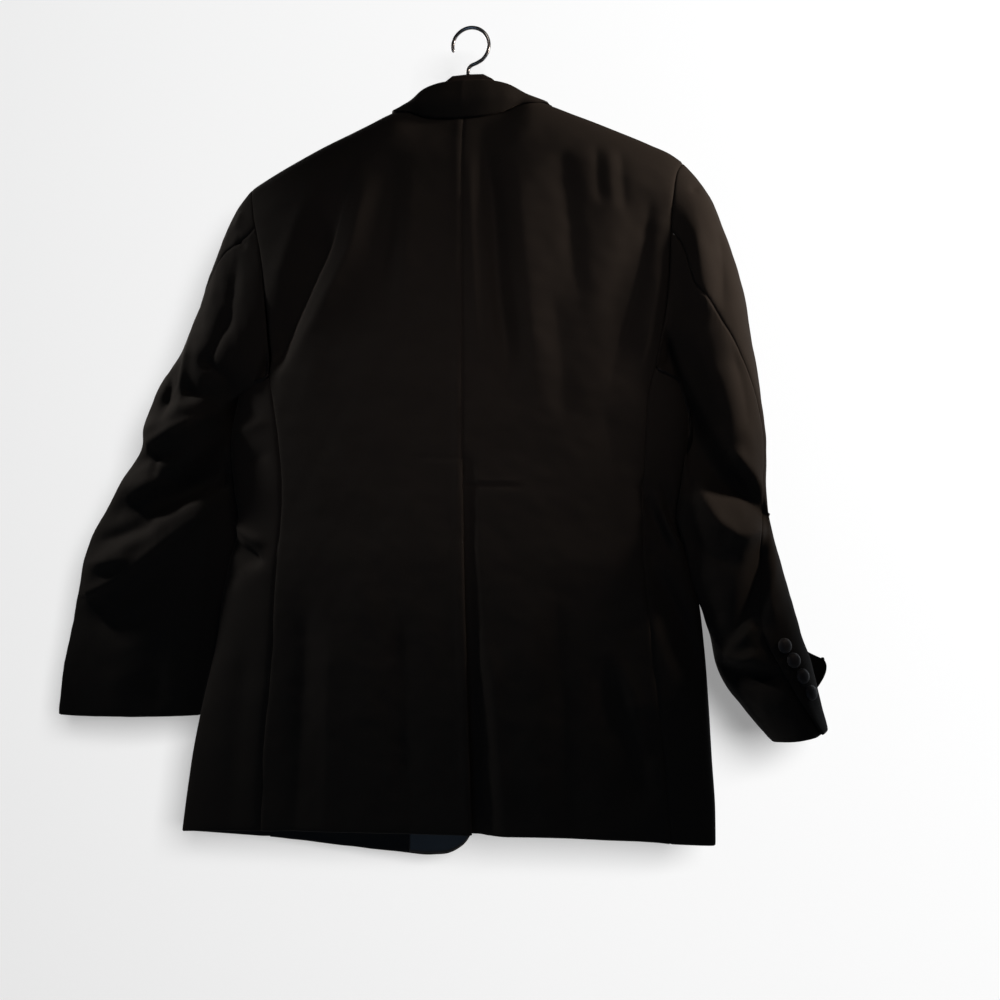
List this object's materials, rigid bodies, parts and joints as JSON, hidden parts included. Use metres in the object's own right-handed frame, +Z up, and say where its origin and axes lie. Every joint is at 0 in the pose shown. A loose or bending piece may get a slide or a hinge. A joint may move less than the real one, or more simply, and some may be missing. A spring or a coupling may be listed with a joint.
{
  "type": "tuxedo jacket on a hanger",
  "caption": "Black single-breasted dinner jacket with a centre back vent and covered buttons, hung buttoned on a plain hanger by its hook.",
  "frame": {"origin": "seat of the hanger's hook, where it rests on a rail", "axes": "+Z up, +Y towards the jacket's front, +X towards the wearer's right"},
  "size_m": [0.8623, 0.1272, 0.9035],
  "materials": {
    "wool": "fine matte worsted",
    "satin": "satin",
    "covered": "ribbed silk cover",
    "plastic": "satin moulded",
    "steel": "polished wire"
  },
  "bodies": {
    "root": {"back_left": "wool", "back_right": "wool", "side_left": "wool", "side_right": "wool", "front_left": "wool", "front_right": "wool", "lapel_left": "satin", "lapel_right": "satin", "collar": "wool", "facing_left": "satin", "pocket_jet_left": "satin", "pocket_jet_right": "satin", "breast_welt": "wool", "front_button": "covered", "sleeve_under_left": "wool", "sleeve_top_left": "wool", "sleeve_under_right": "wool", "sleeve_top_right": "wool", "cuff_button_left_1": "covered", "cuff_button_left_2": "covered", "cuff_button_left_3": "covered", "cuff_button_left_4": "covered", "cuff_button_right_1": "covered", "cuff_button_right_2": "covered", "cuff_button_right_3": "covered", "cuff_button_right_4": "covered", "hanger": "plastic", "hook": "steel"}
  },
  "joints": []
}
